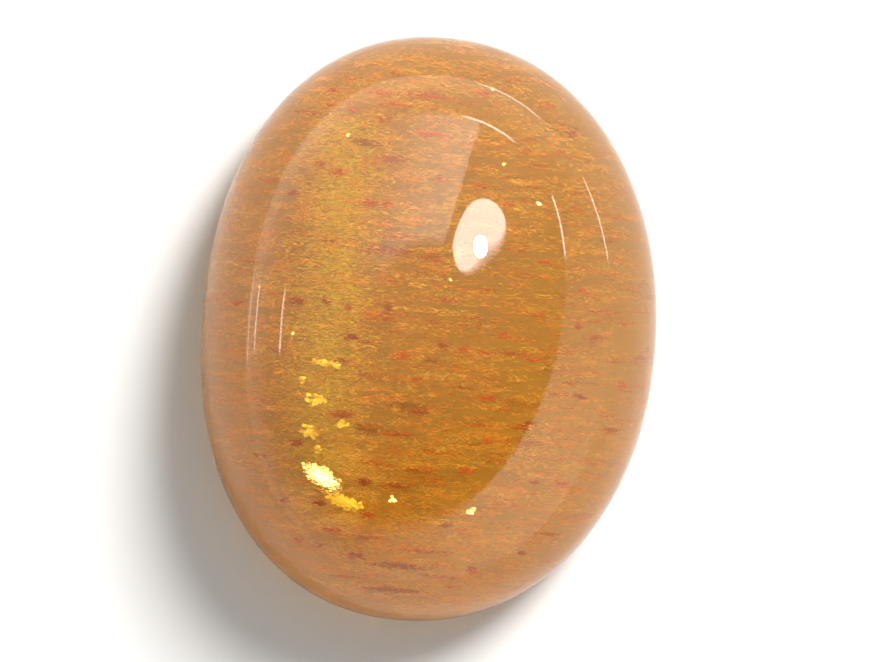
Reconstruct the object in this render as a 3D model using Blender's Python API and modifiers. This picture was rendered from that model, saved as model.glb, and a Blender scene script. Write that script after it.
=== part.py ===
# Star sunstone: one oval, domed cabochon that rests on its flat base.
# Metres, +Z up, long axis along Y, origin under the middle of the base.

import math

import bpy

# Driving dimensions
HALF_WIDTH = 0.00465          # half the width, across X
HALF_LENGTH = 0.00598         # half the length, along Y
HEIGHT = 0.0044               # flat base to the top of the dome
GIRDLE_HEIGHT = 0.0009        # height of the widest ring above the base
BEVEL_HEIGHT = 0.00030        # height of the small bevel round the base
BEVEL_INSET = 0.00026         # how far the base edge lies in from the bevel's top
WALL_INSET = 0.00006          # how far the wall leans in from the girdle down to the bevel

PLAN_EXPONENT = 2.14          # 2 is an ellipse, more is squarer

# Slight unevenness of a stone that was cut by hand: swells round the plan, how
# far each stands out as a share of the radius, and the direction of the first
SWELLS = 3
SWELL_SHARE = 0.0082
FIRST_SWELL = math.radians(-5)

# Fineness of the faceted solid
PLAN_STEPS = 96
DOME_STEPS = 20
EDGE_STEPS = 3                # points that ease the dome into the wall at the girdle
MERGE_DISTANCE = 0.00001

STONE_COLOUR = (0.60, 0.30, 0.10, 1.0)
STONE_ROUGHNESS = 0.06


def clear_scene():
    for item in list(bpy.data.objects):
        bpy.data.objects.remove(item, do_unlink=True)


def new_collection(name):
    collection = bpy.data.collections.new(name)
    bpy.context.scene.collection.children.link(collection)
    return collection


def stone_material():
    material = bpy.data.materials.new("polished_sunstone")
    material.use_nodes = True
    shader = material.node_tree.nodes["Principled BSDF"]
    shader.inputs["Base Color"].default_value = STONE_COLOUR
    shader.inputs["Roughness"].default_value = STONE_ROUGHNESS
    shader.inputs["Metallic"].default_value = 0.0
    return material


def dome_profile():
    """A quarter of an ellipse, from the top of the dome on the axis to the girdle."""
    rise = HEIGHT - GIRDLE_HEIGHT
    points = [(0.0, HEIGHT)]
    for step in range(1, DOME_STEPS + 1):
        turn = 0.5 * math.pi * (1 - step / DOME_STEPS)
        points.append((HALF_WIDTH * math.cos(turn), GIRDLE_HEIGHT + rise * math.sin(turn)))
    return points


def wall_profile():
    """Points of the leaning wall, from under the girdle to the top of the bevel."""
    points = []
    for step in range(1, EDGE_STEPS + 1):
        share = step / EDGE_STEPS
        lean = WALL_INSET * share ** 2
        drop = (GIRDLE_HEIGHT - BEVEL_HEIGHT) * share
        points.append((HALF_WIDTH - lean, GIRDLE_HEIGHT - drop))
    return points


def base_profile():
    """The base edge and the middle of the flat base."""
    base_edge = HALF_WIDTH - WALL_INSET - BEVEL_INSET
    return [(base_edge, 0.0), (0.0, 0.0)]


def plan_factor(angle):
    """How much further out than a circle the plan lies in this direction."""
    across = abs(math.cos(angle)) ** PLAN_EXPONENT
    along = abs(math.sin(angle) * HALF_WIDTH / HALF_LENGTH) ** PLAN_EXPONENT
    factor = (across + along) ** (-1 / PLAN_EXPONENT)
    return factor * (1 + SWELL_SHARE * math.cos(SWELLS * (angle - FIRST_SWELL)))


def turn_profile(name, profile):
    """Turn the profile into a closed round solid with a Screw modifier."""
    mesh = bpy.data.meshes.new(name + "_profile")
    corners = [(out, 0.0, up) for out, up in profile]
    edges = [(index, index + 1) for index in range(len(corners) - 1)]
    mesh.from_pydata(corners, edges, [])
    turned = bpy.data.objects.new(name + "_turned", mesh)
    bpy.context.scene.collection.objects.link(turned)
    screw = turned.modifiers.new("turn", "SCREW")
    screw.axis = "Z"
    screw.steps = PLAN_STEPS
    screw.render_steps = PLAN_STEPS
    screw.use_merge_vertices = True
    screw.merge_threshold = MERGE_DISTANCE
    screw.use_normal_calculate = True
    return turned


def shape_plan(mesh):
    """Push the round solid out to the oval plan, and centre it on the origin."""
    for vertex in mesh.vertices:
        factor = plan_factor(math.atan2(vertex.co.y, vertex.co.x))
        vertex.co.x *= factor
        vertex.co.y *= factor
    for axis in (0, 1):
        places = [vertex.co[axis] for vertex in mesh.vertices]
        middle = 0.5 * (min(places) + max(places))
        for vertex in mesh.vertices:
            vertex.co[axis] -= middle


def build_cabochon(collection):
    name = "sunstone_cabochon"
    turned = turn_profile(name, dome_profile() + wall_profile() + base_profile())
    graph = bpy.context.evaluated_depsgraph_get()
    mesh = bpy.data.meshes.new_from_object(turned.evaluated_get(graph))
    bpy.data.objects.remove(turned, do_unlink=True)
    mesh.name = name
    shape_plan(mesh)
    mesh.shade_smooth()
    mesh.set_sharp_from_angle(angle=math.radians(25))
    mesh.materials.clear()
    mesh.materials.append(stone_material())
    stone = bpy.data.objects.new(name, mesh)
    collection.objects.link(stone)
    return stone


clear_scene()
build_cabochon(new_collection("star_sunstone"))
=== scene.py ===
import math

import bpy
import numpy as np
from mathutils import Matrix, Vector


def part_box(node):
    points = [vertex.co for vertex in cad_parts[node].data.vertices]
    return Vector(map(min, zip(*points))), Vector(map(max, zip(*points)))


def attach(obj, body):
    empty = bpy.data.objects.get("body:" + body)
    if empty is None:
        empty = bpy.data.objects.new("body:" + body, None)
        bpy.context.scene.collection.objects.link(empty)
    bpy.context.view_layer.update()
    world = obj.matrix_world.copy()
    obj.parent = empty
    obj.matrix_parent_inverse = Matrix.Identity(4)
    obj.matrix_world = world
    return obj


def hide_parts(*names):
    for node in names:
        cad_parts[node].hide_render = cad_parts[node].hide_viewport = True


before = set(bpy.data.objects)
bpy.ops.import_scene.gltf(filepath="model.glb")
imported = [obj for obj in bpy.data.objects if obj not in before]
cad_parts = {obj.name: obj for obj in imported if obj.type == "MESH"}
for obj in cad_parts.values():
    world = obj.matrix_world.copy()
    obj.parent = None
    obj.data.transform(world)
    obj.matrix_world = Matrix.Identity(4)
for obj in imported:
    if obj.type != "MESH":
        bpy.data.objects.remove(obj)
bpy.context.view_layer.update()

MM = 0.001

# The stone: the CAD solid's box gives its size, and these its form. The inside share
# keeps the visible stone just within that box.
STONE_NODE = "sunstone_cabochon"
PLAN_EXPONENT = 2.14
SWELLS = 3
SWELL_SHARE = 0.0082
FIRST_SWELL = math.radians(-5)
GIRDLE_HEIGHT = 0.90 * MM
BEVEL_HEIGHT = 0.30 * MM
WALL_INSET = 0.06 * MM
BEVEL_INSET = 0.26 * MM
INSIDE_SHARE = 0.9994
SHARP_ANGLE = math.radians(25)

# Fineness of the visible stone
PLAN_STEPS = 288
DOME_STEPS = 84
WALL_STEPS = 6
BEVEL_STEPS = 8
BASE_STEPS = 12
MIDDLE_STEPS = 1440

BOX_LOW, BOX_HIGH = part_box(STONE_NODE)
HALF_WIDTH = 0.5 * (BOX_HIGH.x - BOX_LOW.x) * INSIDE_SHARE
HALF_LENGTH = 0.5 * (BOX_HIGH.y - BOX_LOW.y) * INSIDE_SHARE
HEIGHT = BOX_HIGH.z * INSIDE_SHARE

# The camera: almost straight above, leaning a little to the left and front
VIEW_DISTANCE = 160 * MM
VIEW_AZIMUTH = math.radians(-43.5)
VIEW_ELEVATION = math.radians(87.4)
VIEW_ROLL = math.radians(48.0)
VIEW_PIVOT = Vector((0, 0, 2.5 * MM))
VIEW_CLIP = 0.01
PIXELS_PER_MM = 49.39
PHOTO_WIDTH = 883
PHOTO_HEIGHT = 662
PIVOT_PIXEL = (431.7, 326.8)
SENSOR_WIDTH = 36.0

# The floor, a hair below the stone's base
FLOOR_SIZE = 0.8
FLOOR_HEIGHT = -0.03 * MM
FLOOR_COLOUR = (0.90, 0.90, 0.895, 1)
FLOOR_ROUGHNESS = 0.9

# The small hot middle of the lamp: direction, radius in degrees, radiance and distance.
# Directions are given as azimuth from +Y towards +X, and elevation, in degrees.
LAMP_CORE = (39, 62.5)
LAMP_CORE_RADIUS = 2.8
LAMP_CORE_RADIANCE = 250.0
LAMP_CORE_COLOUR = (1.0, 0.97, 0.93)
LAMP_DISTANCE = 0.48

# The clear body of the stone, and the slight waviness of its hand polish
STONE_COLOUR = (0.98, 0.625, 0.15, 1)
STONE_ROUGHNESS = 0.01
STONE_IOR = 1.54
STONE_TRANSMISSION = 0.92
ABSORPTION_COLOUR = (0.53, 0.48, 0.30, 1)
ABSORPTION_DENSITY = 200.0
WAVINESS_SCALE = 1300.0
WAVINESS_HEIGHT = 0.0009 * MM

# All grains: their gloss, how far they stay inside the stone, and how far the needles
# stray from X in the plan, and up or down as a slope
GRAIN_GLOSS = 0.15
GRAIN_MARGIN = 0.05 * MM
NEEDLE_LEAN = math.radians(4)
NEEDLE_PITCH = 0.05

# The stone in the photo, in pixels: its middle, and how far it reaches from there
STONE_PIXEL = (432, 327)
STONE_REACH = (224, 287)
# Halvings that find the dome under a pixel, and the step that finds its slope
HALVINGS = 24
NUDGE = 0.002 * MM

# Grains in the stone. The rows run along X, which slopes down to the right in the photo.
ROW_SLOPE = 0.08
# Tones of the marks: colour, and how thick the cluster is
MARK_TONES = {
    "red": ((0.80, 0.18, 0.030), 2.3),
    "brown": ((0.63, 0.20, 0.024), 2.6),
    "faint": ((0.68, 0.23, 0.034), 1.5),
    "olive": ((0.52, 0.23, 0.012), 2.8),
    "dark": ((0.58, 0.13, 0.030), 3.4),
    "orange": ((0.92, 0.33, 0.02), 2.6),
}
# Marks by their place in the photo, in pixels: x, y, length, height, tone
MARKS = (
    (428, 96, 46, 6, "red"), (381, 92, 22, 6, "red"), (394, 104, 22, 5, "red"),
    (353, 110, 8, 5, "red"), (381, 119, 17, 6, "brown"), (430, 134, 35, 7, "red"),
    (332, 90, 12, 6, "red"), (332, 105, 10, 5, "red"), (305, 112, 30, 5, "faint"),
    (367, 143, 30, 9, "olive"), (391, 159, 28, 10, "brown"), (339, 172, 18, 9, "red"),
    (321, 164, 10, 8, "brown"), (371, 203, 14, 9, "red"), (387, 204, 7, 9, "red"),
    (293, 192, 7, 6, "dark"), (481, 186, 9, 5, "red"), (440, 179, 12, 8, "faint"),
    (484, 93, 16, 7, "red"), (470, 104, 26, 5, "faint"), (402, 75, 26, 5, "faint"),
    (350, 78, 14, 5, "faint"), (386, 250, 50, 10, "brown"), (430, 257, 26, 9, "brown"),
    (437, 259, 8, 6, "red"), (400, 236, 36, 6, "faint"), (297, 301, 13, 8, "dark"),
    (327, 301, 9, 12, "brown"), (389, 309, 7, 15, "brown"), (387, 319, 7, 6, "dark"),
    (374, 316, 18, 6, "orange"), (348, 308, 8, 6, "brown"), (352, 337, 13, 7, "dark"),
    (368, 342, 17, 5, "brown"), (443, 346, 8, 6, "dark"), (464, 349, 9, 6, "red"),
    (401, 356, 16, 11, "red"), (431, 360, 14, 6, "olive"), (419, 379, 10, 5, "red"),
    (342, 361, 12, 6, "olive"), (504, 335, 10, 7, "red"), (514, 354, 30, 6, "brown"),
    (533, 360, 20, 5, "red"), (484, 353, 14, 6, "red"), (488, 398, 20, 7, "red"),
    (466, 388, 22, 5, "faint"), (409, 406, 42, 9, "olive"), (417, 412, 18, 6, "dark"),
    (341, 414, 26, 9, "brown"), (369, 429, 26, 9, "olive"), (398, 434, 34, 6, "brown"),
    (296, 443, 12, 7, "dark"), (488, 441, 10, 8, "red"), (520, 428, 22, 7, "brown"),
    (530, 424, 12, 6, "dark"), (505, 410, 26, 5, "faint"), (418, 471, 30, 6, "brown"),
    (365, 482, 12, 8, "dark"), (398, 486, 28, 7, "brown"), (465, 471, 14, 9, "red"),
    (374, 463, 30, 5, "faint"), (319, 503, 9, 7, "dark"), (367, 515, 12, 6, "red"),
    (446, 525, 10, 6, "brown"), (355, 556, 16, 7, "dark"), (402, 566, 60, 7, "brown"),
    (362, 537, 40, 5, "faint"), (332, 530, 16, 6, "red"), (391, 590, 56, 6, "brown"),
    (440, 577, 40, 5, "faint"), (345, 577, 30, 5, "faint"), (472, 569, 9, 6, "dark"),
    (450, 587, 7, 5, "red"), (430, 552, 44, 5, "faint"), (317, 545, 14, 5, "brown"),
    (572, 133, 12, 8, "dark"), (548, 106, 14, 6, "red"), (560, 152, 10, 5, "red"),
    (536, 166, 20, 5, "faint"), (583, 291, 9, 7, "red"), (578, 327, 8, 6, "dark"),
    (596, 338, 18, 7, "brown"), (624, 324, 14, 5, "faint"), (570, 383, 8, 5, "brown"),
    (579, 397, 13, 7, "dark"), (560, 395, 14, 6, "faint"), (622, 386, 9, 10, "red"),
    (611, 430, 16, 5, "dark"), (562, 484, 10, 8, "red"), (534, 482, 9, 5, "dark"),
    (546, 534, 28, 4, "brown"), (521, 553, 8, 5, "dark"), (473, 571, 10, 6, "red"),
    (600, 312, 30, 4, "faint"), (560, 352, 34, 4, "faint"), (545, 262, 16, 5, "red"),
    (520, 250, 20, 5, "faint"), (508, 205, 14, 5, "red"), (525, 150, 16, 4, "faint"),
    (291, 193, 8, 5, "dark"), (271, 180, 20, 4, "faint"), (258, 400, 16, 4, "faint"),
    (236, 303, 12, 6, "red"), (284, 500, 10, 6, "brown"), (298, 540, 10, 6, "red"),
    (262, 455, 16, 5, "faint"), (276, 350, 18, 4, "faint"), (330, 240, 18, 5, "faint"),
    (300, 232, 16, 4, "faint"), (252, 262, 18, 4, "faint"), (445, 300, 30, 5, "faint"),
    (470, 318, 24, 5, "faint"), (430, 322, 22, 5, "faint"), (540, 315, 16, 5, "red"),
    (486, 290, 20, 5, "faint"), (370, 375, 26, 5, "faint"), (440, 452, 40, 5, "faint"),
    (500, 462, 26, 5, "faint"), (480, 425, 30, 5, "faint"),
)
# Each mark is a cluster of slivers: the least number, how many more for a pixel of its area,
# their spread as shares of its length and height, and in mm the depth of the mark, the
# slivers' depth round that, and their length and width
MARK_SEED = 11
MARK_LEAST = 4
MARK_DENSITY = 0.40
MARK_SPREAD = (0.27, 0.22)
MARK_DEPTH = (0.18, 0.5)
MARK_DEPTH_SPREAD = 0.03
MARK_SLIVER_LENGTH = (0.04, 0.12)
MARK_SLIVER_WIDTH = (0.012, 0.030)
MARK_ROUGHNESS = 0.35

# Silk: rows of needles all through the stone, in mm
SILK_SEED = 7
SILK_ROWS = 1500
SILK_IN_ROW = 30
SILK_ROW_LENGTH = 0.55
SILK_NEEDLE_LENGTH = 0.10
SILK_NEEDLE_WIDTH = (0.010, 0.026)
SILK_UNEVENNESS = 0.5
# spread along a row as a share of its length, and across it in mm
SILK_ALONG = 0.4
SILK_ACROSS = 0.036
# share of dark rows in the middle, how it grows for a mm to the right as painted shade on the
# right side, how it falls for a mm towards the ends, and its limits
SILK_DARK = 0.36
SILK_PAINTED_SHADE_RIGHT = 0.11
SILK_DARK_ENDS = 0.05
SILK_DARK_RANGE = (0.04, 0.85)
SILK_ROUGHNESS = 0.4
SILK_TONES = {
    "orange": (1.0, 0.54, 0.11),
    "honey": (1.0, 0.74, 0.18),
    "brown": (0.70, 0.27, 0.04),
    "red": (0.88, 0.30, 0.045),
}

# Orange grain: rows of needles under the polish, placed in pixels of the photo
GRAIN_SEED = 17
GRAIN_ROWS = 3600
GRAIN_IN_ROW = 28
GRAIN_ACROSS = (205, 655)
GRAIN_DOWN = (38, 615)
# share of rows kept in the middle, and how much it grows towards the left, the bottom and the
# top, over these distances; this thicker bright grain is painted light that brightens those
# sides
GRAIN_KEPT = 0.22
GRAIN_PAINTED_LIGHT_LEFT = 0.75
GRAIN_PAINTED_LIGHT_LOW = 0.80
GRAIN_PAINTED_LIGHT_HIGH = 0.45
GRAIN_FADE_ACROSS = 190
GRAIN_FADE_DOWN = 230
# a row's length and its limits, spread along it as a share of that, and spread across it
GRAIN_ROW_LENGTH = 26
GRAIN_ROW_LIMITS = (10, 70)
GRAIN_UNEVENNESS = 0.4
GRAIN_SPREAD_ALONG = 0.32
GRAIN_SPREAD_ACROSS = 1.9
# depth, needle length and needle width in mm
GRAIN_DEPTH = (0.30, 1.2)
GRAIN_NEEDLE_LENGTH = (0.03, 0.10)
GRAIN_NEEDLE_WIDTH = (0.012, 0.026)
GRAIN_ROUGHNESS = 0.4
GRAIN_TONE_SHARES = (0.46, 0.38, 0.16)
GRAIN_TONES = {
    "orange": (1.0, 0.56, 0.13),
    "amber": (1.0, 0.70, 0.20),
    "red": (0.98, 0.42, 0.08),
}

# Gold band, a painted sheen: its middle from top to bottom, in pixels of the photo
GOLD_SHEEN_LINE = ((347, 120), (341, 180), (336, 240), (331, 300), (327, 360), (321, 420), (326, 476))
GOLD_SEED = 5
GOLD_COUNT = 15000
# the needles' spread across the band and along it, in pixels, and depth, length and width
# in mm
GOLD_SPREAD = 20
GOLD_SPREAD_ALONG = 6
GOLD_DEPTH = (0.35, 1.4)
GOLD_LENGTH = (0.05, 0.15)
GOLD_WIDTH = (0.008, 0.018)
# pale gold of the band's needles, a painted sheen of the star's band
GOLD_SHEEN_COLOUR = (1.0, 0.97, 0.20)
GOLD_ROUGHNESS = 0.40
# Painted glints of the band, as crowds of bright gold needles
# a glint's least number of needles, how many more for a pixel of its area, spread as a share
# of its length and height, and depth, length and width of the needles in mm
GLINT_LEAST = 10
GLINT_DENSITY = 0.35
GLINT_SPREAD = 0.25
GLINT_DEPTH = (0.2, 0.5)
GLINT_LENGTH = (0.04, 0.12)
GLINT_WIDTH = (0.01, 0.03)
PAINTED_GLINT_COLOUR = (1.0, 0.66, 0.10)
GLINT_ROUGHNESS = 0.30
# Painted glints in the band, in pixels: x, y, length, height
PAINTED_GOLD_GLINTS = (
    (318, 361, 22, 4), (331, 364, 28, 6), (316, 400, 18, 14), (310, 431, 18, 12),
    (341, 424, 12, 8), (318, 449, 8, 6), (302, 380, 8, 8), (352, 377, 14, 5),
)

# Platelets that flash, six-sided: depth in mm and its spread, size in mm, how much longer
# than wide, how uneven the corners are, and how far the tilts stray, in degrees
FLASH_SEED = 3
FLASH_DEPTH = 0.30
FLASH_DEPTH_SPREAD = 0.06
FLASH_SIZE = (0.020, 0.050)
FLASH_SIDES = 6
FLASH_LENGTHENING = 1.5
FLASH_CORNER_TURN = 0.4
FLASH_CORNER_REACH = (0.7, 1.0)
FLASH_TILT_SPREAD = 0.4
# how closely a group is packed, how far its rim reaches, how the tilt grows towards the rim,
# and how strongly the platelets lie with their long axis along X
FLASH_PACKING = 0.42
FLASH_REACH = 1.1
FLASH_TILT_POWER = 1.5
FLASH_ALIGNMENT = 2.5
WHITE_FLASH = (1.0, 0.98, 0.94)
WHITE_FLASH_ROUGHNESS = 0.17
GOLD_FLASH = (1.0, 0.88, 0.24)
GOLD_FLASH_ROUGHNESS = 0.42
# Groups: x, y, length, height, turn in the picture, how many, tilt off the mirror angle in
# the middle and at the rim in degrees, tone (0 white, 1 gold)
FLASHES = (
    (322, 477, 42, 17, 32, 480, 0.0, 4.4, 0),
    (345, 502, 32, 12, 18, 200, 2.4, 5.0, 1),
    (316, 400, 18, 14, 0, 46, 5.0, 8.0, 1),
    (310, 431, 20, 12, 30, 46, 4.6, 8.0, 1),
    (318, 449, 8, 6, 0, 10, 4.0, 6.0, 1),
    (318, 361, 22, 4, 8, 20, 5.0, 7.5, 1),
    (331, 364, 28, 6, 8, 26, 6.0, 8.5, 1),
    (341, 424, 12, 8, 0, 14, 6.0, 8.5, 1),
    (302, 380, 8, 8, 0, 8, 6.0, 8.5, 1),
    (330, 113, 2, 2, 0, 1, 3.3, 3.8, 0),
    (348, 135, 2, 2, 0, 1, 3.3, 3.8, 0),
    (504, 164, 2, 2, 0, 1, 3.3, 3.8, 0),
    (539, 203, 2, 2, 0, 1, 3.3, 3.8, 0),
    (451, 280, 3, 3, 0, 1, 3.2, 3.6, 0),
    (392, 500, 4, 7, 0, 4, 2.8, 3.6, 0),
    (492, 90, 2, 2, 0, 1, 3.3, 3.8, 0),
    (471, 511, 14, 4, -42, 12, 2.6, 4.0, 0),
    (293, 333, 2, 2, 0, 1, 3.3, 3.8, 0),
)


def direction(azimuth, elevation):
    a = math.radians(azimuth)
    e = math.radians(elevation)
    return Vector((math.sin(a) * math.cos(e), math.cos(a) * math.cos(e), math.sin(e)))


def plan_radius(angle):
    across = np.abs(np.cos(angle) / HALF_WIDTH) ** PLAN_EXPONENT
    along = np.abs(np.sin(angle) / HALF_LENGTH) ** PLAN_EXPONENT
    radius = (across + along) ** (-1 / PLAN_EXPONENT)
    return radius * (1 + SWELL_SHARE * np.cos(SWELLS * (angle - FIRST_SWELL)))


def plan_middle():
    """Middle of the plan's own box, which the stone is moved back by."""
    angle = np.linspace(0, 2 * math.pi, MIDDLE_STEPS)
    x = plan_radius(angle) * np.cos(angle)
    y = plan_radius(angle) * np.sin(angle)
    return 0.5 * (x.min() + x.max()), 0.5 * (y.min() + y.max())


MIDDLE_X, MIDDLE_Y = plan_middle()


def dome_height(x, y, margin=0.0):
    """Height of a dome that lies inside the stone's by the margin, or -1 outside its plan."""
    x = x + MIDDLE_X
    y = y + MIDDLE_Y
    share = np.hypot(x, y) / (plan_radius(np.arctan2(y, x)) - margin)
    rise = HEIGHT - margin - GIRDLE_HEIGHT
    height = GIRDLE_HEIGHT + rise * np.sqrt(np.clip(1 - share ** 2, 0, 1))
    return np.where(share < 1, height, -1.0)


def stone_profile():
    """(share of the plan radius, inset, height) from the top down to the base."""
    rise = HEIGHT - GIRDLE_HEIGHT
    rows = []
    for step in range(1, DOME_STEPS + 1):
        turn = 0.5 * math.pi * (1 - step / DOME_STEPS)
        rows.append((math.cos(turn), 0.0, GIRDLE_HEIGHT + rise * math.sin(turn)))
    for step in range(1, WALL_STEPS + 1):
        share = step / WALL_STEPS
        drop = (GIRDLE_HEIGHT - BEVEL_HEIGHT) * share
        rows.append((1.0, WALL_INSET * share ** 2, GIRDLE_HEIGHT - drop))
    for step in range(1, BEVEL_STEPS + 1):
        share = step / BEVEL_STEPS
        rows.append((1.0, WALL_INSET + BEVEL_INSET * share, BEVEL_HEIGHT * (1 - share)))
    for step in range(1, BASE_STEPS):
        share = 1 - step / BASE_STEPS
        rows.append((share, (WALL_INSET + BEVEL_INSET) * share, 0.0))
    return rows


def new_piece(name, points, faces, materials):
    mesh = bpy.data.meshes.new(name)
    mesh.from_pydata([tuple(p) for p in points], [], faces)
    for material in materials:
        mesh.materials.append(material)
    piece = bpy.data.objects.new(name, mesh)
    bpy.context.scene.collection.objects.link(piece)
    return piece


def build_stone():
    rows = stone_profile()
    angle = np.arange(PLAN_STEPS) * 2 * math.pi / PLAN_STEPS
    radius = plan_radius(angle)
    points = [(-MIDDLE_X, -MIDDLE_Y, HEIGHT)]
    for share, inset, up in rows:
        out = radius * share - inset
        x = out * np.cos(angle) - MIDDLE_X
        y = out * np.sin(angle) - MIDDLE_Y
        points.extend(zip(x, y, [up] * PLAN_STEPS))
    points.append((-MIDDLE_X, -MIDDLE_Y, 0.0))
    faces = []
    last = len(points) - 1
    for step in range(PLAN_STEPS):
        after = (step + 1) % PLAN_STEPS
        faces.append((0, 1 + step, 1 + after))
        for row in range(len(rows) - 1):
            a = 1 + row * PLAN_STEPS
            b = a + PLAN_STEPS
            faces.append((a + step, b + step, b + after, a + after))
        a = 1 + (len(rows) - 1) * PLAN_STEPS
        faces.append((a + step, last, a + after))
    stone = new_piece("polished_stone", points, faces, [stone_material()])
    stone.data.shade_smooth()
    stone.data.set_sharp_from_angle(angle=SHARP_ANGLE)
    return stone


def stone_material():
    material = bpy.data.materials.new("clear_orange_feldspar")
    material.use_nodes = True
    tree = material.node_tree
    shader = tree.nodes["Principled BSDF"]
    shader.inputs["Base Color"].default_value = STONE_COLOUR
    shader.inputs["Roughness"].default_value = STONE_ROUGHNESS
    shader.inputs["IOR"].default_value = STONE_IOR
    shader.inputs["Transmission Weight"].default_value = STONE_TRANSMISSION
    place = tree.nodes.new("ShaderNodeTexCoord")
    noise = tree.nodes.new("ShaderNodeTexNoise")
    noise.inputs["Scale"].default_value = WAVINESS_SCALE
    noise.inputs["Detail"].default_value = 1.0
    tree.links.new(place.outputs["Object"], noise.inputs["Vector"])
    bump = tree.nodes.new("ShaderNodeBump")
    bump.inputs["Strength"].default_value = 1.0
    bump.inputs["Distance"].default_value = WAVINESS_HEIGHT
    tree.links.new(noise.outputs["Fac"], bump.inputs["Height"])
    tree.links.new(bump.outputs["Normal"], shader.inputs["Normal"])
    absorb = tree.nodes.new("ShaderNodeVolumeAbsorption")
    absorb.inputs["Color"].default_value = ABSORPTION_COLOUR
    absorb.inputs["Density"].default_value = ABSORPTION_DENSITY
    output = tree.nodes["Material Output"]
    tree.links.new(absorb.outputs["Volume"], output.inputs["Volume"])
    return material


def grain_material(name, colour, roughness, metallic=0.0):
    material = bpy.data.materials.new(name)
    material.use_nodes = True
    shader = material.node_tree.nodes["Principled BSDF"]
    shader.inputs["Base Color"].default_value = (*colour, 1)
    shader.inputs["Roughness"].default_value = roughness
    shader.inputs["Metallic"].default_value = metallic
    shader.inputs["Specular IOR Level"].default_value = GRAIN_GLOSS
    return material


def unit(vectors):
    return vectors / np.linalg.norm(vectors, axis=-1, keepdims=True)


def bend_in(rays, normals):
    """Rays from the air as they go on inside the stone."""
    cosine_in = -(rays * normals).sum(-1, keepdims=True)
    share = 1 / STONE_IOR
    turned = share * cosine_in - np.sqrt(1 - share ** 2 * (1 - cosine_in ** 2))
    return share * rays + turned * normals


def under_pixel(x, y, depth):
    """Points that the camera sees at a pixel, this deep inside the stone.

    Also gives the view ray inside the stone and the dome's normal there.
    """
    place, right, up, back = (np.array(v) for v in view_frame())
    x = np.asarray(x, float)[:, None]
    y = np.asarray(y, float)[:, None]
    ahead = place - back * VIEW_DISTANCE
    scale = MM / PIXELS_PER_MM
    aside = (x - PHOTO_WIDTH / 2) * scale * right
    target = ahead + aside + (PHOTO_HEIGHT / 2 - y) * scale * up
    rays = unit(target - place)
    near = place + rays * (HEIGHT - place[2]) / rays[:, 2:]
    far = place + rays * (0 - place[2]) / rays[:, 2:]
    for _ in range(HALVINGS):
        middle = (near + far) / 2
        above = middle[:, 2] > dome_height(middle[:, 0], middle[:, 1])
        near = np.where(above[:, None], middle, near)
        far = np.where(above[:, None], far, middle)
    at_x, at_y = near[:, 0], near[:, 1]
    slope_x = dome_height(at_x + NUDGE, at_y) - dome_height(at_x - NUDGE, at_y)
    slope_y = dome_height(at_x, at_y + NUDGE) - dome_height(at_x, at_y - NUDGE)
    normals = unit(np.stack([-slope_x, -slope_y, np.full(len(near), 2 * NUDGE)], -1))
    inward = bend_in(rays, normals)
    return near + inward * np.asarray(depth).reshape(-1, 1), inward, normals


def slivers(rng, place, long, wide):
    """Thin four-sided slivers that lie nearly along X, one at each place."""
    count = len(place)
    lean = rng.normal(0, NEEDLE_LEAN, count)
    pitch = rng.normal(0, NEEDLE_PITCH, count)
    roll = rng.uniform(0, math.pi, count)
    along = np.stack([np.cos(lean), np.sin(lean), pitch], -1) * long[:, None] / 2
    side = np.stack([np.zeros(count), np.cos(roll), np.sin(roll)], -1) * wide[:, None] / 2
    slide = rng.uniform(-0.5, 0.5, (count, 2, 1))
    near = place + along * slide[:, 0] + side
    far = place + along * slide[:, 1] - side
    return np.stack([place - along, near, place + along, far], 1)


def inside(corners):
    """Which grains lie wholly inside the stone, by the margin."""
    points = corners.reshape(-1, 3)
    top = dome_height(points[:, 0], points[:, 1], GRAIN_MARGIN)
    fits = (points[:, 2] < top) & (points[:, 2] > GRAIN_MARGIN)
    return fits.reshape(len(corners), -1).all(1)


def grain_piece(name, corners, tones, materials):
    """One mesh of all the grains, each with the material of its tone."""
    keep = inside(corners)
    corners, tones = corners[keep], np.asarray(tones)[keep]
    count, sides = corners.shape[:2]
    faces = np.arange(count * sides).reshape(count, sides).tolist()
    piece = new_piece(name, corners.reshape(-1, 3), faces, materials)
    piece.data.polygons.foreach_set("material_index", tones.astype(np.int32))
    return piece


def build_marks():
    """The red and brown platelets that stand out, in clusters of tiny slivers."""
    rng = np.random.default_rng(MARK_SEED)
    corners = []
    tones = []
    names = list(MARK_TONES)
    for x, y, long, high, tone in MARKS:
        count = int(MARK_LEAST + MARK_DENSITY * long * high * MARK_TONES[tone][1])
        along = rng.normal(0, MARK_SPREAD[0], count) * long
        across = rng.normal(0, MARK_SPREAD[1], count) * high
        depth = rng.uniform(*MARK_DEPTH) * MM + rng.normal(0, MARK_DEPTH_SPREAD, count) * MM
        place = under_pixel(x + along, y + across + along * ROW_SLOPE, depth)[0]
        size = rng.uniform(*MARK_SLIVER_LENGTH, count) * MM
        width = rng.uniform(*MARK_SLIVER_WIDTH, count) * MM
        corners.append(slivers(rng, place, size, width))
        tones += [names.index(tone)] * count
    materials = [
        grain_material("platelets_" + name, MARK_TONES[name][0], MARK_ROUGHNESS)
        for name in names
    ]
    return grain_piece("platelet_marks", np.concatenate(corners), tones, materials)


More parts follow.
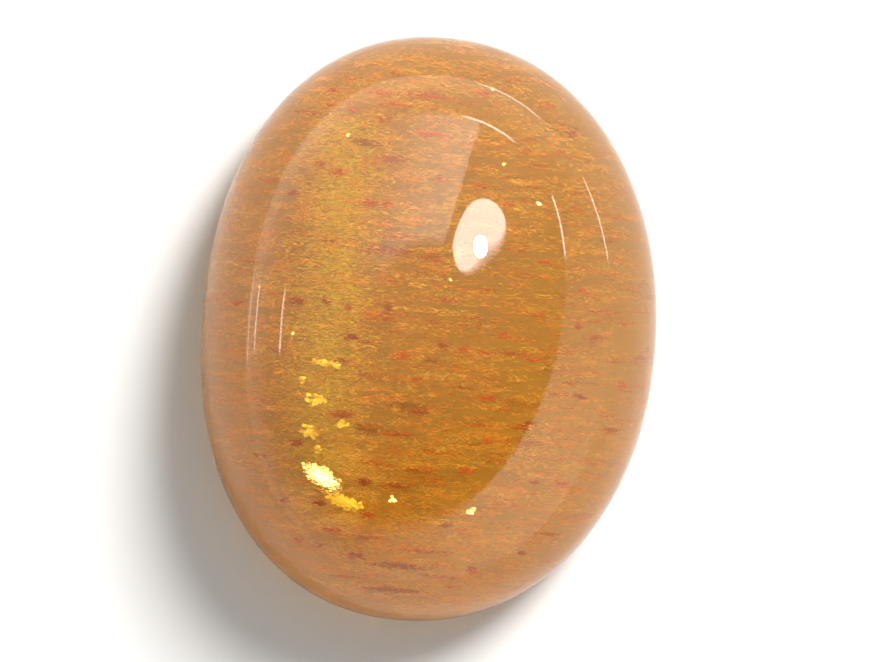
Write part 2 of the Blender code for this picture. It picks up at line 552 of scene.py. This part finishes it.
def build_silk():
    """Fine needles all through the stone, in short rows along X, with more dark rows to the
    right as painted shade.
    """
    rng = np.random.default_rng(SILK_SEED)
    low = (-HALF_WIDTH, -HALF_LENGTH, 0)
    high = (HALF_WIDTH, HALF_LENGTH, HEIGHT)
    centre = rng.uniform(low, high, (SILK_ROWS, 3))
    length = rng.lognormal(math.log(SILK_ROW_LENGTH), SILK_UNEVENNESS, SILK_ROWS) * MM
    count = SILK_ROWS * SILK_IN_ROW
    row = np.repeat(np.arange(SILK_ROWS), SILK_IN_ROW)
    place = centre[row]
    place[:, 0] += rng.normal(0, SILK_ALONG, count) * length[row]
    place[:, 1:] += rng.normal(0, SILK_ACROSS, (count, 2)) * MM
    size = rng.lognormal(math.log(SILK_NEEDLE_LENGTH), SILK_UNEVENNESS, count) * MM
    width = rng.uniform(*SILK_NEEDLE_WIDTH, count) * MM
    corners = slivers(rng, place, size, width)
    # the dark rows' share grows to the right: painted shade on the right side
    painted_shade_right = SILK_PAINTED_SHADE_RIGHT * centre[:, 0] / MM
    to_ends = SILK_DARK_ENDS * np.abs(centre[:, 1]) / MM
    dark = SILK_DARK + painted_shade_right - to_ends
    is_dark = rng.uniform(0, 1, SILK_ROWS) < dark.clip(*SILK_DARK_RANGE)
    # the first two tones are pale and the last two dark
    tones = (2 * is_dark + rng.integers(0, 2, SILK_ROWS))[row]
    materials = [
        grain_material("silk_" + name, colour, SILK_ROUGHNESS)
        for name, colour in SILK_TONES.items()
    ]
    return grain_piece("needle_silk", corners, tones, materials)


def grain_rows(rng):
    """Pixels that the middles of the grain's rows lie under, thickest left, below and above: the
    grain is the stone's own, its thickening there painted light.
    """
    middle_x, middle_y = STONE_PIXEL
    x = rng.uniform(*GRAIN_ACROSS, GRAIN_ROWS)
    y = rng.uniform(*GRAIN_DOWN, GRAIN_ROWS)
    left = np.clip((middle_x - x) / GRAIN_FADE_ACROSS, 0, 1)
    low = np.clip((y - middle_y) / GRAIN_FADE_DOWN, 0, 1)
    high = np.clip((middle_y - y) / GRAIN_FADE_DOWN, 0, 1)
    # thicker bright grain to the left, the bottom and the top is painted light on those sides
    share = GRAIN_KEPT + GRAIN_PAINTED_LIGHT_LEFT * left + GRAIN_PAINTED_LIGHT_LOW * low + GRAIN_PAINTED_LIGHT_HIGH * high
    kept = rng.uniform(0, 1, GRAIN_ROWS) < np.clip(share, 0, 1)
    rim = ((x - middle_x) / STONE_REACH[0]) ** 2 + ((y - middle_y) / STONE_REACH[1]) ** 2 < 1
    return x[kept & rim], y[kept & rim]


def build_grain():
    """Orange needles under the polish, in rows."""
    rng = np.random.default_rng(GRAIN_SEED)
    x, y = grain_rows(rng)
    rows = len(x)
    count = rows * GRAIN_IN_ROW
    length = rng.lognormal(math.log(GRAIN_ROW_LENGTH), GRAIN_UNEVENNESS, rows)
    length = length.clip(*GRAIN_ROW_LIMITS)
    along = rng.normal(0, GRAIN_SPREAD_ALONG, count) * np.repeat(length, GRAIN_IN_ROW)
    across = rng.normal(0, GRAIN_SPREAD_ACROSS, count)
    depth = np.repeat(rng.uniform(*GRAIN_DEPTH, rows), GRAIN_IN_ROW) * MM
    px = np.repeat(x, GRAIN_IN_ROW) + along
    py = np.repeat(y, GRAIN_IN_ROW) + across + along * ROW_SLOPE
    place = under_pixel(px, py, depth)[0]
    size = rng.uniform(*GRAIN_NEEDLE_LENGTH, count) * MM
    width = rng.uniform(*GRAIN_NEEDLE_WIDTH, count) * MM
    corners = slivers(rng, place, size, width)
    tones = np.repeat(rng.choice(len(GRAIN_TONES), rows, p=GRAIN_TONE_SHARES), GRAIN_IN_ROW)
    materials = [
        grain_material("grain_" + name, colour, GRAIN_ROUGHNESS)
        for name, colour in GRAIN_TONES.items()
    ]
    return grain_piece("orange_grain", corners, tones, materials)


def glint(rng, x, y, long, high):
    """Needles of one painted glint of the gold band: pixels, depth, length and width."""
    number = int(GLINT_LEAST + GLINT_DENSITY * long * high)
    px = x + rng.normal(0, GLINT_SPREAD, number) * long
    py = y + rng.normal(0, GLINT_SPREAD, number) * high
    depth = rng.uniform(*GLINT_DEPTH, number) * MM
    length = rng.uniform(*GLINT_LENGTH, number) * MM
    width = rng.uniform(*GLINT_WIDTH, number) * MM
    return px, py, depth, length, width


def build_gold_sheen_band():
    """Pale gold needles that paint the sheen of the star's light band, thickest where it
    glitters.
    """
    rng = np.random.default_rng(GOLD_SEED)
    line = np.array(GOLD_SHEEN_LINE, float)
    stations = np.arange(len(line))
    step = rng.uniform(0, len(line) - 1, GOLD_COUNT)
    x = np.interp(step, stations, line[:, 0]) + rng.normal(0, 1, GOLD_COUNT) * GOLD_SPREAD
    y = np.interp(step, stations, line[:, 1]) + rng.normal(0, GOLD_SPREAD_ALONG, GOLD_COUNT)
    depth = rng.uniform(*GOLD_DEPTH, GOLD_COUNT) * MM
    long = rng.uniform(*GOLD_LENGTH, GOLD_COUNT) * MM
    wide = rng.uniform(*GOLD_WIDTH, GOLD_COUNT) * MM
    groups = [(x, y, depth, long, wide)]
    for place in PAINTED_GOLD_GLINTS:
        groups.append(glint(rng, *place))
    x, y, depth, long, wide = (np.concatenate(part) for part in zip(*groups))
    corners = slivers(rng, under_pixel(x, y, depth)[0], long, wide)
    tones = (np.arange(len(x)) >= GOLD_COUNT).astype(int)
    materials = [
        grain_material("gold_silk_painted_sheen", GOLD_SHEEN_COLOUR, GOLD_ROUGHNESS),
        grain_material("painted_gold_glints", PAINTED_GLINT_COLOUR, GLINT_ROUGHNESS),
    ]
    return grain_piece("gold_sheen_band", corners, tones, materials)


def platelets(rng, place, mirror):
    """Flat six-sided platelets, one at each place, square to its mirror direction."""
    count = len(place)
    axis = unit(np.cross(mirror, rng.normal(0, 1, (count, 3)) + (0, FLASH_ALIGNMENT, 0)))
    side = np.cross(mirror, axis)
    size = rng.uniform(*FLASH_SIZE, count) * MM
    corners = []
    for corner in range(FLASH_SIDES):
        stray = rng.uniform(-FLASH_CORNER_TURN, FLASH_CORNER_TURN, count)
        angle = 2 * math.pi * corner / FLASH_SIDES + stray
        reach = size * rng.uniform(*FLASH_CORNER_REACH, count)
        along = (FLASH_LENGTHENING * reach * np.cos(angle))[:, None]
        across = (reach * np.sin(angle))[:, None]
        corners.append(place + axis * along + side * across)
    return np.stack(corners, 1)


def build_flash():
    """Small platelets that mirror the lamp into the camera, or nearly so."""
    rng = np.random.default_rng(FLASH_SEED)
    light = np.array(direction(*LAMP_CORE))
    corners = []
    tones = []
    for x, y, long, high, turn, count, tilt_in, tilt_out, tone in FLASHES:
        spin = rng.uniform(0, 2 * math.pi, count)
        share = rng.rayleigh(FLASH_PACKING, count).clip(0, FLASH_REACH)
        along = share * np.cos(spin) * long / 2
        across = share * np.sin(spin) * high / 2
        t = math.radians(turn)
        px = x + along * math.cos(t) - across * math.sin(t)
        py = y + along * math.sin(t) + across * math.cos(t)
        deeper = rng.uniform(-FLASH_DEPTH_SPREAD, FLASH_DEPTH_SPREAD, count)
        place, rays, normals = under_pixel(px, py, (FLASH_DEPTH + deeper) * MM)
        lit = bend_in(np.broadcast_to(-light, normals.shape), normals)
        mirror = unit(-rays - lit)
        tilt = tilt_in + (tilt_out - tilt_in) * share ** FLASH_TILT_POWER
        tilt = np.radians(tilt + rng.normal(0, FLASH_TILT_SPREAD, count))
        sideways = unit(np.cross(mirror, rng.normal(0, 1, (count, 3))))
        mirror = unit(mirror * np.cos(tilt)[:, None] + sideways * np.sin(tilt)[:, None])
        corners.append(platelets(rng, place, mirror))
        tones += [tone] * count
    materials = [
        grain_material("bright_platelet", WHITE_FLASH, WHITE_FLASH_ROUGHNESS, metallic=1.0),
        grain_material("gold_platelet", GOLD_FLASH, GOLD_FLASH_ROUGHNESS, metallic=1.0),
    ]
    return grain_piece("flashing_platelets", np.concatenate(corners), tones, materials)


def build_floor():
    bpy.ops.mesh.primitive_plane_add(size=FLOOR_SIZE, location=(0, 0, FLOOR_HEIGHT))
    floor = bpy.context.active_object
    floor.name = "floor"
    material = bpy.data.materials.new("white_card")
    material.use_nodes = True
    shader = material.node_tree.nodes["Principled BSDF"]
    shader.inputs["Base Color"].default_value = FLOOR_COLOUR
    shader.inputs["Roughness"].default_value = FLOOR_ROUGHNESS
    shader.inputs["Specular IOR Level"].default_value = 0.0
    floor.data.materials.append(material)


def build_lamp():
    """The small hot middle of the lamp, a disc that faces the stone."""
    radius = LAMP_DISTANCE * math.tan(math.radians(LAMP_CORE_RADIUS))
    data = bpy.data.lights.new("lamp_core", "AREA")
    data.shape = "DISK"
    data.size = 2 * radius
    data.energy = LAMP_CORE_RADIANCE * math.pi * math.pi * radius ** 2
    data.color = LAMP_CORE_COLOUR
    place = direction(*LAMP_CORE) * LAMP_DISTANCE
    lamp = bpy.data.objects.new("lamp_core", data)
    lamp.location = place
    lamp.rotation_euler = place.to_track_quat("Z", "Y").to_euler()
    lamp.visible_diffuse = False
    bpy.context.scene.collection.objects.link(lamp)


def cosine(degrees):
    return math.cos(math.radians(degrees))


class Sums:
    """Short names for the arithmetic nodes of one node tree."""

    def __init__(self, tree):
        self.tree = tree

    def math(self, operation, a, b=0.0):
        node = self.tree.nodes.new("ShaderNodeMath")
        node.operation = operation
        for socket, value in zip(node.inputs, (a, b)):
            if isinstance(value, (int, float)):
                socket.default_value = value
            else:
                self.tree.links.new(value, socket)
        return node.outputs[0]

    def dot(self, xyz, vector):
        total = self.math("MULTIPLY", xyz[0], vector.x)
        total = self.math("ADD", total, self.math("MULTIPLY", xyz[1], vector.y))
        return self.math("ADD", total, self.math("MULTIPLY", xyz[2], vector.z))

    def lobe(self, xyz, azimuth, elevation, inner, outer, radiance):
        """A soft light round one direction, full inside one angle and gone past another."""
        towards = self.dot(xyz, direction(azimuth, elevation))
        return self.step(towards, cosine(outer), cosine(inner), 0.0, radiance)

    def slit(self, azimuth, level, start, stop, height, radiance):
        """A thin bright line at one height, from one azimuth to another, faint past its ends."""
        middle = math.radians((start + stop) / 2)
        half = math.radians((stop - start) / 2)
        aside = self.math("ABSOLUTE", self.math("SUBTRACT", azimuth, middle))
        along = self.step(aside, half * SLIT_ENDS[1], half * SLIT_ENDS[0])
        off = self.math("ABSOLUTE", self.math("SUBTRACT", level, height))
        across = self.step(off, SLIT_EDGE[1], SLIT_EDGE[0])
        return self.math("MULTIPLY", self.math("MULTIPLY", along, across), radiance)

    def step(self, value, start, end, low=0.0, high=1.0):
        """Eases from low to high as the value goes from start to end."""
        node = self.tree.nodes.new("ShaderNodeMapRange")
        node.interpolation_type = "SMOOTHSTEP"
        self.tree.links.new(value, node.inputs["Value"])
        names = ("From Min", "From Max", "To Min", "To Max")
        for name, number in zip(names, (start, end, low, high)):
            if isinstance(number, (int, float)):
                node.inputs[name].default_value = number
            else:
                self.tree.links.new(number, node.inputs[name])
        return node.outputs["Result"]


# What lights the stone and the floor, and the polish does not show: an even fill and a soft
# key light (azimuth, elevation, angles of its full part and of its rim, radiance)
FILL_RADIANCE = 0.41
KEY_LIGHT = (34, 38, 2, 18, 32.0)
LIGHT_COLOUR = (1.0, 0.985, 0.96, 1)

# The room that only the polish mirrors, where the floor's radiance is about 1.5. It is
# brighter towards one azimuth, and never darker than ROOM_LEAST.
ROOM_RADIANCE = 0.62
ROOM_SLOPE = 1.1
ROOM_AZIMUTH = -25
ROOM_LEAST = 0.03
# Bright surroundings under a line: the line's height, and how far it rises towards an azimuth
# where they are brighter too
BAND_RADIANCE = 0.72
BAND_AZIMUTH = 130
BAND_EXTRA = 1.2
BAND_TOP = 0.41
BAND_RISE = 0.25
BAND_RISE_POWER = 1.5
# The line is crisp round one azimuth and blurred away from it: cosines, and the blur's most
# and how much less it is where the line is crisp
CRISP_AZIMUTH = math.radians(80)
CRISP_RANGE = (-0.2, 0.5)
BLUR_MOST = 0.106
BLUR_LESS = 0.10
# Glows near the horizon: azimuth, height where they end, radiance
GLOWS = ((-115, 0.34, 0.85), (-10, 0.40, 1.0))

# A card with one straight edge: two points on the edge, softness of the edge, how far in the
# card fades out, its ends as heights, and the side of the room that it is on
CARD_RADIANCE = 2.7
CARD_EDGE = ((14.2, 33.7), (9.9, 67.5))
CARD_SOFTNESS = 0.008
CARD_FADE = math.sin(math.radians(42))
CARD_LOW_END = (0.39, 0.45)
CARD_HIGH_END = (0.945, 0.912)
CARD_SIDE = (5, 0)
CARD_SIDE_RANGE = (0.05, 0.30)

# The lamp's reflector as the stone sees it: direction, middle, mean radius, and the swells
# of its outline as waves round it, size and phase
PATCH_DIRECTION = (36, 60.5)
PATCH_RADIANCE = 13.5
PATCH_COLOUR = (1.0, 0.92, 0.87, 1)
PATCH_MIDDLE = (-0.006, 0.004)
PATCH_RADIUS = 0.1754
PATCH_SWELLS = (
    (1, 0.0097, math.radians(-108)),
    (2, 0.0268, math.radians(-162.5)),
    (3, 0.0058, math.radians(-90)),
)
# its edge is softest round one turn: cosines, and how far in the edge is soft
PATCH_SOFT_TURN = math.radians(15)
PATCH_SOFT_RANGE = (0.1, 1.0)
PATCH_SOFTNESS = (0.010, 0.11)
PATCH_OUTER_EDGE = 0.004
PATCH_FRONT = (0.80, 0.82)

# Bright slits: azimuth from and to, height above the band's line, radiance
SLITS_ON_BAND = ((9, 29, 12.0), (52, 68, 12.0), (-94, -84, 9.0))
# Bright slits near the floor: azimuth from and to, height, radiance
SLITS_LOW = (
    (12, 33, 0.02, 9.0),
    (55, 73, 0.02, 10.0),
    (-95, -83, 0.02, 3.5),
    (-93, -84, 0.115, 7.0),
)
# Where a slit starts to fade and is gone, as shares of half its length and in height
SLIT_ENDS = (0.8, 1.25)
SLIT_EDGE = (0.002, 0.012)


def band_line(sums, xyz, flat):
    """Height over the line of the bright surroundings, and their radiance under it."""
    facing = sums.math("DIVIDE", sums.dot(xyz, direction(BAND_AZIMUTH, 0)), flat)
    facing = sums.math("MAXIMUM", facing, 0.0)
    rise = sums.math("MULTIPLY", sums.math("POWER", facing, BAND_RISE_POWER), BAND_RISE)
    over = sums.math("SUBTRACT", xyz[2], sums.math("ADD", rise, BAND_TOP))
    extra = sums.math("MULTIPLY", sums.math("MULTIPLY", facing, facing), BAND_EXTRA)
    return over, sums.math("ADD", extra, BAND_RADIANCE)


def glow_light(sums, xyz, flat, azimuth, top, radiance):
    """A glow on the horizon round one azimuth, fading upwards."""
    there = sums.math("DIVIDE", sums.dot(xyz, direction(azimuth, 0)), flat)
    there = sums.math("MAXIMUM", there, 0.0)
    return sums.math("MULTIPLY", there, sums.step(xyz[2], top, 0.0, 0.0, radiance))


def card_light(sums, xyz):
    """A card whose straight edge is a great circle, fading away from the edge."""
    low, high = (direction(*corner) for corner in CARD_EDGE)
    away = sums.dot(xyz, high.cross(low).normalized())
    edge = sums.step(away, -CARD_SOFTNESS, CARD_SOFTNESS)
    fade = sums.step(away, CARD_FADE, 0.0)
    side = sums.step(sums.dot(xyz, direction(*CARD_SIDE)), *CARD_SIDE_RANGE)
    low_end = sums.step(xyz[2], *CARD_LOW_END)
    high_end = sums.step(xyz[2], *CARD_HIGH_END)
    ends = sums.math("MULTIPLY", sums.math("MULTIPLY", low_end, high_end), side)
    card = sums.math("MULTIPLY", sums.math("MULTIPLY", edge, fade), ends)
    return sums.math("MULTIPLY", card, CARD_RADIANCE)


def room_light(sums, xyz):
    """The room: dim above the line, bright under it, with the card and the slits."""
    z = xyz[2]
    flat = sums.math("SQRT", sums.math("SUBTRACT", 1.0, sums.math("MULTIPLY", z, z)))
    azimuth = sums.math("ARCTAN2", xyz[0], xyz[1])
    slope = sums.dot(xyz, direction(ROOM_AZIMUTH, 0) * ROOM_SLOPE)
    room = sums.math("MAXIMUM", sums.math("ADD", slope, ROOM_RADIANCE), ROOM_LEAST)
    over, band = band_line(sums, xyz, flat)
    band = sums.math("MAXIMUM", band, room)
    for glow in GLOWS:
        band = sums.math("ADD", band, glow_light(sums, xyz, flat, *glow))
    aside = sums.math("COSINE", sums.math("SUBTRACT", azimuth, CRISP_AZIMUTH))
    crisp = sums.step(aside, *CRISP_RANGE)
    blur = sums.math("SUBTRACT", BLUR_MOST, sums.math("MULTIPLY", crisp, BLUR_LESS))
    below = sums.math("MULTIPLY", blur, -1.0)
    total = sums.step(over, below, blur, band, room)
    total = sums.math("ADD", total, card_light(sums, xyz))
    for start, stop, radiance in SLITS_ON_BAND:
        slit = sums.slit(azimuth, over, start, stop, 0.0, radiance)
        total = sums.math("ADD", total, slit)
    for start, stop, height, radiance in SLITS_LOW:
        slit = sums.slit(azimuth, z, start, stop, height, radiance)
        total = sums.math("ADD", total, slit)
    return total


def lamp_image(sums, xyz):
    """The lamp's reflector: egg-shaped, with one side soft."""
    ahead = direction(*PATCH_DIRECTION)
    level = ahead.cross(Vector((0, 0, 1))).normalized()
    upward = level.cross(ahead)
    across = sums.math("SUBTRACT", sums.dot(xyz, level), PATCH_MIDDLE[0])
    along = sums.math("SUBTRACT", sums.dot(xyz, upward), PATCH_MIDDLE[1])
    turn = sums.math("ARCTAN2", along, across)
    radius = PATCH_RADIUS
    for waves, size, phase in PATCH_SWELLS:
        swell = sums.math("SUBTRACT", sums.math("MULTIPLY", turn, waves), phase)
        swell = sums.math("MULTIPLY", sums.math("COSINE", swell), size)
        radius = sums.math("ADD", swell, radius)
    squares = [sums.math("MULTIPLY", part, part) for part in (across, along)]
    reach = sums.math("SQRT", sums.math("ADD", *squares))
    aside = sums.math("COSINE", sums.math("SUBTRACT", turn, PATCH_SOFT_TURN))
    soft = sums.step(aside, *PATCH_SOFT_RANGE, *PATCH_SOFTNESS)
    out = sums.math("SUBTRACT", reach, radius)
    shape = sums.step(out, PATCH_OUTER_EDGE, sums.math("MULTIPLY", soft, -1.0))
    front = sums.step(sums.dot(xyz, ahead), *PATCH_FRONT)
    return sums.math("MULTIPLY", sums.math("MULTIPLY", shape, front), PATCH_RADIANCE)


def background(tree, node, colour, radiance):
    node.inputs["Color"].default_value = colour
    tree.links.new(radiance, node.inputs["Strength"])
    return node.outputs["Background"]


def build_world():
    """Soft light for the stone and the floor, and a room and a lamp that only gloss shows."""
    world = bpy.data.worlds.new("soft_room")
    bpy.context.scene.world = world
    world.use_nodes = True
    tree = world.node_tree
    sums = Sums(tree)
    coords = tree.nodes.new("ShaderNodeTexCoord")
    split = tree.nodes.new("ShaderNodeSeparateXYZ")
    tree.links.new(coords.outputs["Generated"], split.inputs["Vector"])
    xyz = tuple(split.outputs)

    lighting = sums.math("ADD", sums.lobe(xyz, *KEY_LIGHT), FILL_RADIANCE)
    light = background(tree, tree.nodes["Background"], LIGHT_COLOUR, lighting)
    room = background(tree, tree.nodes.new("ShaderNodeBackground"), LIGHT_COLOUR,
                      room_light(sums, xyz))
    lamp = background(tree, tree.nodes.new("ShaderNodeBackground"), PATCH_COLOUR,
                      lamp_image(sums, xyz))
    both = tree.nodes.new("ShaderNodeAddShader")
    tree.links.new(room, both.inputs[0])
    tree.links.new(lamp, both.inputs[1])
    path = tree.nodes.new("ShaderNodeLightPath")
    mix = tree.nodes.new("ShaderNodeMixShader")
    tree.links.new(path.outputs["Is Glossy Ray"], mix.inputs[0])
    tree.links.new(light, mix.inputs[1])
    tree.links.new(both.outputs[0], mix.inputs[2])
    tree.links.new(mix.outputs[0], tree.nodes["World Output"].inputs["Surface"])


def view_frame():
    """Where the camera stands, and its right, up and backward directions."""
    a, e, r = VIEW_AZIMUTH, VIEW_ELEVATION, VIEW_ROLL
    back = Vector((math.sin(a) * math.cos(e), -math.cos(a) * math.cos(e), math.sin(e)))
    level = Vector((math.cos(a), math.sin(a), 0))
    upward = back.cross(level)
    right = math.cos(r) * level + math.sin(r) * upward
    up = -math.sin(r) * level + math.cos(r) * upward
    aside = (PHOTO_WIDTH / 2 - PIVOT_PIXEL[0]) / PIXELS_PER_MM * MM
    below = (PHOTO_HEIGHT / 2 - PIVOT_PIXEL[1]) / PIXELS_PER_MM * MM
    place = VIEW_PIVOT + back * VIEW_DISTANCE + right * aside - up * below
    return place, right, up, back


def build_camera():
    place, right, up, back = view_frame()
    data = bpy.data.cameras.new("camera")
    data.sensor_fit = "HORIZONTAL"
    data.sensor_width = SENSOR_WIDTH
    data.lens = PIXELS_PER_MM * (VIEW_DISTANCE / MM) * SENSOR_WIDTH / PHOTO_WIDTH
    data.clip_start = VIEW_CLIP
    camera = bpy.data.objects.new("camera", data)
    turn = Matrix((right, up, back)).transposed().to_4x4()
    camera.matrix_world = Matrix.Translation(place) @ turn
    bpy.context.scene.collection.objects.link(camera)
    bpy.context.scene.camera = camera


build_floor()
stone = build_stone()
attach(stone, "root")
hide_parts(STONE_NODE)
for grains in (build_marks(), build_silk(), build_grain(), build_gold_sheen_band(), build_flash()):
    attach(grains, "root")
    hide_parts(STONE_NODE)
build_lamp()
build_world()
build_camera()
bpy.context.scene.view_settings.view_transform = "Standard"
